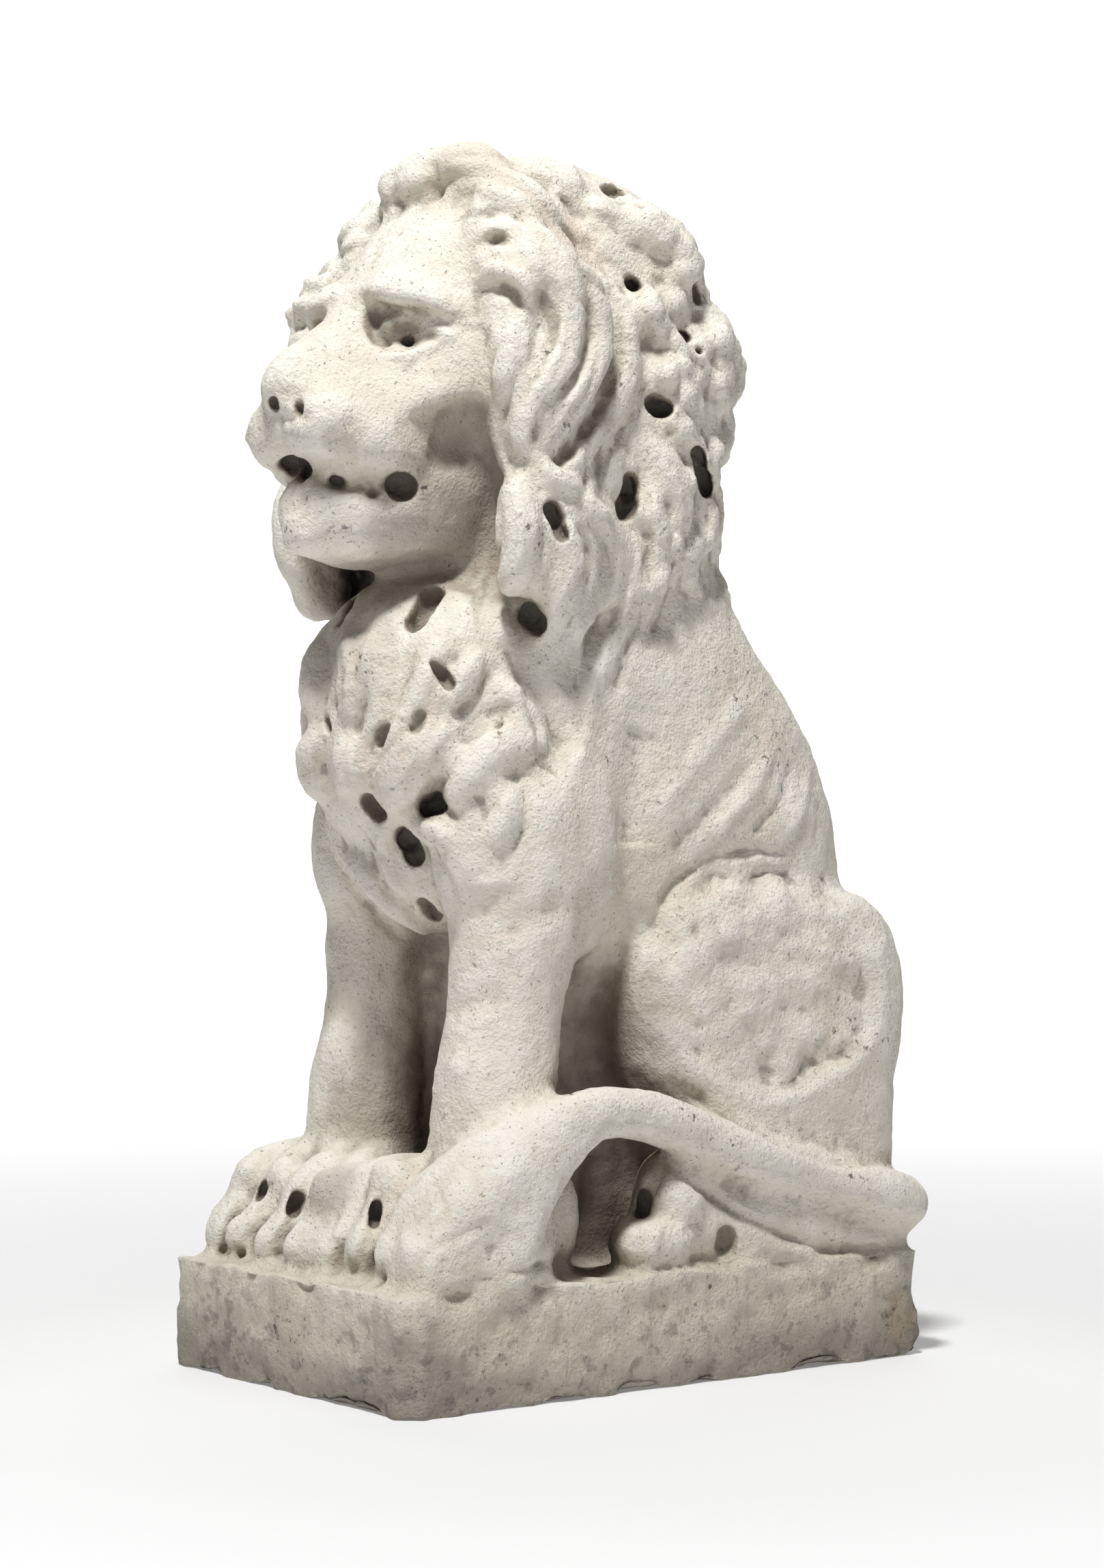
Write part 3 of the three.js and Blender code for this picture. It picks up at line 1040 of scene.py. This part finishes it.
# %% Thin the skin
FINEST_FACES = 190000
faces = sum(len(face.vertices) - 2 for face in lion.data.polygons)
thin = lion.modifiers.new("thin", "DECIMATE")
thin.ratio = min(1, FINEST_FACES / faces)
baked(lion)
print("thinned from", faces, "to", len(lion.data.polygons), "triangles")

# %% [markdown]
# ## Where dirt settles and shade is painted
# Soot and soil stay where rain doesn't wash, and the same darkening paints the shade of the hollows.
# Each point looks around itself: the share of its view that the stone itself shuts off is its
# shelter.

# %% Shelter
RAYS = 9
WIDEST_LOOK = 0.85
LONGEST_LOOK = 0.14
LOOK_START = 0.0015
GOLDEN_TURN = math.pi * (3 - math.sqrt(5))
skin = skin_of(lion)
mesh = lion.data
looks = []
for i in range(RAYS):
    rise = 1 - (i + 0.5) / RAYS * WIDEST_LOOK
    turn = GOLDEN_TURN * i
    aside = math.sqrt(1 - rise * rise)
    looks.append((math.cos(turn) * aside, math.sin(turn) * aside, rise))
shelter = np.zeros(len(mesh.vertices))
for vert in mesh.vertices:
    normal = vert.normal
    side = normal.orthogonal().normalized()
    third = normal.cross(side)
    start = vert.co + normal * LOOK_START
    shut = 0
    for x, y, z in looks:
        distance = skin.ray_cast(start, side * x + third * y + normal * z, LONGEST_LOOK)[3]
        if distance is not None:
            shut += 1 - distance / LONGEST_LOOK
    shelter[vert.index] = shut / RAYS

# %% [markdown]
# A crease lies below the average of its neighbours and a ridge above it. Both values are kept on
# the mesh's points, where the stone's material reads them.

# %% Creases
ends = np.empty(len(mesh.edges) * 2, dtype=int)
mesh.edges.foreach_get("vertices", ends)
ends = ends.reshape(-1, 2)
links = np.bincount(ends.ravel(), minlength=len(mesh.vertices))[:, None]


def neighbour_mean(values):
    """Each point's value averaged over the points it shares an edge with."""
    total = np.zeros_like(values)
    np.add.at(total, ends[:, 0], values[ends[:, 1]])
    np.add.at(total, ends[:, 1], values[ends[:, 0]])
    return total / links


places = points_of(mesh)
softened = places
CREASE_ROUNDS = 4
SHELTER_ROUNDS = 2
for _ in range(CREASE_ROUNDS):
    softened = neighbour_mean(softened)
crease = np.einsum("ij,ij->i", softened - places, points_of(mesh, "normal")) / MM
shelter = shelter[:, None]
for _ in range(SHELTER_ROUNDS):
    shelter = (shelter + neighbour_mean(shelter)) / 2
for name, values in (("shelter", shelter.ravel()), ("crease", crease)):
    layer = mesh.attributes.new(name, "FLOAT", "POINT")
    layer.data.foreach_set("value", values)
print("mean shelter", round(float(shelter.mean()), 3))

# %% [markdown]
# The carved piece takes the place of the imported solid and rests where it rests.

# %% Hand the solid over to the carved piece
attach(lion, "root")
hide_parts("seated_lion")

# %% [markdown]
# ## The stone
# The real stone is a pale cream limestone with a dull, rough face. Its colour is worked out from the
# place on the stone and from the two values kept on its points, by these few kinds of node.

# %% Stone nodes
# a mix node's sockets for colours share their names with those for plain values
UNDER_SOCKET = 6
OVER_SOCKET = 7
MIXED_SOCKET = 2


def plug(socket, value):
    """Wires a node's output to a socket, or sets the socket to a plain value."""
    if isinstance(value, bpy.types.NodeSocket):
        socket.id_data.links.new(value, socket)
    else:
        socket.default_value = value


def node(tree, kind, **inputs):
    """A new node whose inputs are wired or set by name."""
    made = tree.nodes.new("ShaderNode" + kind)
    for name, value in inputs.items():
        plug(made.inputs[name], value)
    return made


def new_material(name):
    """A material, its nodes and the shader among them."""
    made = bpy.data.materials.new(name)
    made.use_nodes = True
    return made, made.node_tree, made.node_tree.nodes["Principled BSDF"]


stone, stone_tree, shader = new_material("weathered_stone")
plug(shader.inputs["Roughness"], 0.92)
object_place = node(stone_tree, "TexCoord").outputs["Object"]


def grain(scale, detail=4.0, stretch=(1, 1, 1)):
    """Noise from 0 to 1 in the stone's own space."""
    mapping = node(stone_tree, "Mapping", Vector=object_place, Scale=stretch)
    texture = node(stone_tree, "TexNoise", Vector=mapping.outputs["Vector"], Scale=scale,
                   Detail=detail, Roughness=0.6)
    return texture.outputs["Fac"]


def between(value, low, high):
    """Rises smoothly from 0 at low to 1 at high."""
    ramp = node(stone_tree, "MapRange", **{"Value": value, "From Min": low, "From Max": high})
    ramp.interpolation_type = "SMOOTHSTEP"
    return ramp.outputs["Result"]


def sums(kind, first, second):
    """A sum of two values: ADD, SUBTRACT or MULTIPLY."""
    maths = node(stone_tree, "Math")
    maths.operation = kind
    plug(maths.inputs[0], first)
    plug(maths.inputs[1], second)
    return maths.outputs[0]


def less(value):
    """One less the value: strong where the value is weak."""
    return sums("SUBTRACT", 1.0, value)


def painted(under, tint, where, amount):
    """Lays a tint over a colour, by an amount, where a value is strong."""
    mix = node(stone_tree, "Mix")
    mix.data_type = "RGBA"
    plug(mix.inputs["Factor"], sums("MULTIPLY", where, amount))
    plug(mix.inputs[UNDER_SOCKET], under)
    plug(mix.inputs[OVER_SOCKET], (*tint, 1))
    return mix.outputs[MIXED_SOCKET]


def kept(name):
    """A value kept on the mesh's points."""
    layer = node(stone_tree, "Attribute")
    layer.attribute_name = name
    return layer.outputs["Fac"]


def stone_at(pixel):
    """The place on the stone, in millimetres, that the picture shows at a pixel."""
    return tuple(skin.ray_cast(CAMERA_PLACE, ray_through(pixel))[0] / MM)


def spot(place, radius):
    """Fades from 1 at a place to 0 at a radius, with a ragged edge."""
    gap = node(stone_tree, "VectorMath")
    gap.operation = "DISTANCE"
    plug(gap.inputs[0], object_place)
    plug(gap.inputs[1], Vector(place) * MM)
    ragged = sums("ADD", gap.outputs["Value"], sums("MULTIPLY", grain(40), radius * 0.9 * MM))
    return less(between(ragged, radius * 0.75 * MM, radius * 1.45 * MM))

# %% [markdown]
# ### Bare stone
# The bed of the stone isn't even. Clouds of rose, beige and chalk drift through the cream, and damp
# has left drab patches.

# %% Clouds in the stone
CREAM = (0.80, 0.75, 0.655)
ROSE = (0.72, 0.60, 0.50)
BEIGE = (0.66, 0.58, 0.47)
CHALK = (0.87, 0.835, 0.76)
# drab: damp patches, and painted shade in shallow hollows
DAMP_AND_SHADE = (0.56, 0.52, 0.42)
# dark soil: soil on the block, and painted shade in the finest creases
SOIL_AND_SHADE = (0.29, 0.26, 0.215)
# painted shadow: the colour that stands in for the head's shadow on the cheek, throat and chest
SHADE = (0.40, 0.36, 0.30)
# brown: painted shade under the belly and between the legs, and brown grime in sheltered hollows
BROWN = (0.20, 0.145, 0.105)
# black: soot and crusts, and painted shade deep in the hollows
SOOT_AND_SHADE = (0.028, 0.024, 0.022)
LICHEN = (0.50, 0.30, 0.12)

middle = grain(60, 6)
# each cloud is (tint, amount, noise, where the noise begins to show, where it shows fully)
CLOUDS = [
    (ROSE, 0.55, grain(7), 0.5, 0.72),
    (BEIGE, 0.6, grain(16, 8), 0.52, 0.75),
    (CHALK, 0.7, grain(11, 8), 0.5, 0.66),
    (DAMP_AND_SHADE, 0.45, grain(5, 6), 0.5, 0.7),
    (DAMP_AND_SHADE, 0.35, middle, 0.56, 0.7),
]
colour = (*CREAM, 1)
for tint, amount, noise, low, high in CLOUDS:
    colour = painted(colour, tint, between(noise, low, high), amount)

# %% [markdown]
# ### Grime and painted shade
# Rain washes the ridges pale. Where the stone is sheltered it goes drab, then brown, then black:
# partly soot, partly painted shade in the hollows. The finest creases are darkened too, partly by
# soil and partly as painted shade.

# %% Grime and painted shade in the hollows
crease_value = kept("crease")
ridge = sums("MULTIPLY", crease_value, -1.0)
patchy = sums("MULTIPLY", sums("SUBTRACT", middle, 0.5), 0.35)
# sheltered points darken: partly grime and soot, partly painted shade in the hollows
grime_and_shade = sums("ADD", kept("shelter"), patchy)
# the finest creases darken: partly soil, partly painted shade
dark_crease = sums("ADD", crease_value, sums("MULTIPLY", middle, 0.6))
GRIME_AND_SHADE = [
    (CHALK, 0.5, ridge, 0.1, 1.0),
    (DAMP_AND_SHADE, 0.6, grime_and_shade, 0.1, 0.34),
    (BROWN, 0.75, grime_and_shade, 0.26, 0.52),
    (SOOT_AND_SHADE, 0.92, grime_and_shade, 0.5, 0.74),
    (SOIL_AND_SHADE, 0.6, dark_crease, 0.75, 1.7),
]
for tint, amount, value, low, high in GRIME_AND_SHADE:
    colour = painted(colour, tint, between(value, low, high), amount)

# %% [markdown]
# ### Soil
# Soil splashes up from the ground and stains the block, ragged at its upper edge, and rain draws it
# into streaks down the sides.

# %% Soil on the block
height = node(stone_tree, "SeparateXYZ", Vector=object_place).outputs["Z"]
soil_line = sums("ADD", height, sums("MULTIPLY", grain(9, 8), 0.11))
on_block = less(between(height, 0.07, 0.085))
streak = sums("MULTIPLY", between(grain(60, 3, (1, 1, 0.04)), 0.55, 0.68), on_block)
colour = painted(colour, DAMP_AND_SHADE, less(between(soil_line, 0.11, 0.17)), 0.75)
colour = painted(colour, SOIL_AND_SHADE, less(between(soil_line, 0.06, 0.108)), 0.8)
colour = painted(colour, SOIL_AND_SHADE, streak, 0.35)

# %% [markdown]
# ### Stains and painted shade
# Some marks are in one place only: the head's shadow painted on the cheek, under the jaw and on
# the throat and chest, painted shade under the belly and between the legs, rose in a broken curl,
# lichen and soil on the block's corners. Each is (tint, amount, pixel, radius in millimetres).

# %% Stains and painted shade in their places
STAINS_AND_PAINTED_SHADE = [
    # painted shadow of the head on the lower cheek, under the jaw and on the throat and chest
    (SHADE, 0.6, (650, 690), 46),
    (SHADE, 0.6, (690, 640), 40),
    (SHADE, 0.6, (600, 780), 46),
    (SHADE, 0.6, (680, 760), 46),
    (SHADE, 0.55, (560, 850), 60),
    (SHADE, 0.45, (500, 960), 60),
    (SHADE, 0.45, (620, 850), 46),
    # painted shade between the toes, between the forelegs, in the belly hollow and before the hind
    # paw
    (BROWN, 0.42, (480, 1740), 34),
    (BROWN, 0.5, (560, 1600), 60),
    (BROWN, 0.55, (900, 1500), 60),
    (BROWN, 0.5, (880, 1790), 40),
    # stains of the stone itself: rose, beige, lichen and soil
    (ROSE, 0.7, (850, 360), 34),
    (BEIGE, 0.6, (690, 240), 60),
    (BEIGE, 0.5, (960, 1290), 60),
    (LICHEN, 0.55, (1320, 1929), 26),
    (SOIL_AND_SHADE, 0.7, (600, 2040), 60),
    (SOIL_AND_SHADE, 0.65, (280, 1990), 50),
    (SOIL_AND_SHADE, 0.7, (1330, 1960), 60),
]
for tint, amount, pixel, radius in STAINS_AND_PAINTED_SHADE:
    colour = painted(colour, tint, spot(stone_at(pixel), radius), amount)

# %% [markdown]
# ### Crusts and specks
# Black crusts cling to the block, specks of soil sit in pits all over, and mould comes in patches.

# %% Crusts and specks
crust = sums("MULTIPLY", between(grain(75, 9), 0.53, 0.64), less(between(soil_line, 0.1, 0.14)))
speck = between(grain(330, 2), 0.67, 0.74)
mould = sums("MULTIPLY", between(grain(170, 5), 0.58, 0.66), between(grain(14, 4), 0.56, 0.66))
colour = painted(colour, SOOT_AND_SHADE, crust, 0.36)
colour = painted(colour, SOIL_AND_SHADE, speck, 0.35)
colour = painted(colour, SOOT_AND_SHADE, mould, 0.75)
plug(shader.inputs["Base Color"], colour)

# %% [markdown]
# ### Grain
# The finest roughness, too small for the mesh, is a bump: two sizes of grain with pits in it.

# %% Grain of the surface
GRAIN_STRENGTH = 0.9
GRAIN_DEPTH = 0.0025
relief = sums("ADD", sums("MULTIPLY", grain(420, 3), 0.6), grain(150, 4))
relief = sums("SUBTRACT", relief, sums("MULTIPLY", speck, 0.8))
bump = node(stone_tree, "Bump", Strength=GRAIN_STRENGTH, Distance=GRAIN_DEPTH, Height=relief)
plug(shader.inputs["Normal"], bump.outputs["Normal"])

lion.data.materials.clear()
lion.data.materials.append(stone)
lion.data.shade_smooth()

# %% [markdown]
# ## Floor
# The lion stands on a pale sheet that curves up behind it, as in a studio. The sheet glows more the
# further it is from the lion, which keeps it even.

# %% Floor
FLOOR_REACH = 3.2
WALL_RADIUS = 1.2
WALL_HEIGHT = 5
WALL_STEPS = 24
floor_clay = bmesh.new()
start = bmesh.ops.create_grid(floor_clay, x_segments=1, y_segments=1, size=FLOOR_REACH)["verts"]
far_edge = [edge for edge in floor_clay.edges if all(vert.co.y > 0 for vert in edge.verts)]
bmesh.ops.spin(floor_clay, geom=far_edge + [v for v in start if v.co.y > 0],
               cent=(0, FLOOR_REACH, WALL_RADIUS), axis=(1, 0, 0), angle=math.radians(90),
               steps=WALL_STEPS, use_duplicate=False)
top_edge = [edge for edge in floor_clay.edges
            if all(vert.co.z > WALL_RADIUS - MM for vert in edge.verts)]
risen = bmesh.ops.extrude_edge_only(floor_clay, edges=top_edge)["geom"]
bmesh.ops.translate(floor_clay, vec=(0, 0, WALL_HEIGHT),
                    verts=[part for part in risen if isinstance(part, bmesh.types.BMVert)])
bmesh.ops.remove_doubles(floor_clay, verts=floor_clay.verts, dist=0.0001)
bmesh.ops.rotate(floor_clay, cent=(0, 0, 0), verts=floor_clay.verts,
                 matrix=Matrix.Rotation(CAMERA_AZIMUTH, 3, "Z"))
floor = lump("floor", floor_clay)
floor.data.shade_smooth()

# %% [markdown]
# The sheet's paint is a plain pale grey. Its glow starts half a metre from the lion.

# %% Paint of the floor
FLOOR_GREY = 0.72
GLOW_FROM = {"From Min": 0.5, "To Min": 0.16}
GLOW_TO = {"From Max": 3.4, "To Max": 0.8}
floor_paint, floor_tree, floor_shader = new_material("floor_paint")
plug(floor_shader.inputs["Base Color"], (FLOOR_GREY, FLOOR_GREY, FLOOR_GREY, 1))
plug(floor_shader.inputs["Roughness"], 0.9)
plug(floor_shader.inputs["Emission Color"], (1, 1, 1, 1))
distance = node(floor_tree, "VectorMath")
distance.operation = "LENGTH"
plug(distance.inputs[0], node(floor_tree, "TexCoord").outputs["Object"])
glow = node(floor_tree, "MapRange", Value=distance.outputs["Value"], **GLOW_FROM, **GLOW_TO)
plug(floor_shader.inputs["Emission Strength"], glow.outputs["Result"])
floor.data.materials.append(floor_paint)

# %% [markdown]
# ## Light
# One soft lamp hangs high over the camera, so brows, lips and locks throw short shadows down. A
# faint even light fills them.

# %% Light
KEY_PLACE = Vector((1.0, -1.15, 3.4))
KEY_AIM = Vector((0, -0.05, 0.45))
KEY_SIZE = 0.4
KEY_POWER = 122
FILL = 0.07
world = bpy.data.worlds.new("studio")
world.use_nodes = True
background = world.node_tree.nodes["Background"]
background.inputs["Color"].default_value = (1, 1, 1, 1)
background.inputs["Strength"].default_value = FILL
bpy.context.scene.world = world
key_data = bpy.data.lights.new("key", "AREA")
key_data.size = KEY_SIZE
key_data.energy = KEY_POWER
aimed("key", key_data, KEY_PLACE, KEY_AIM - KEY_PLACE)
bpy.context.scene.view_settings.view_transform = "Standard"
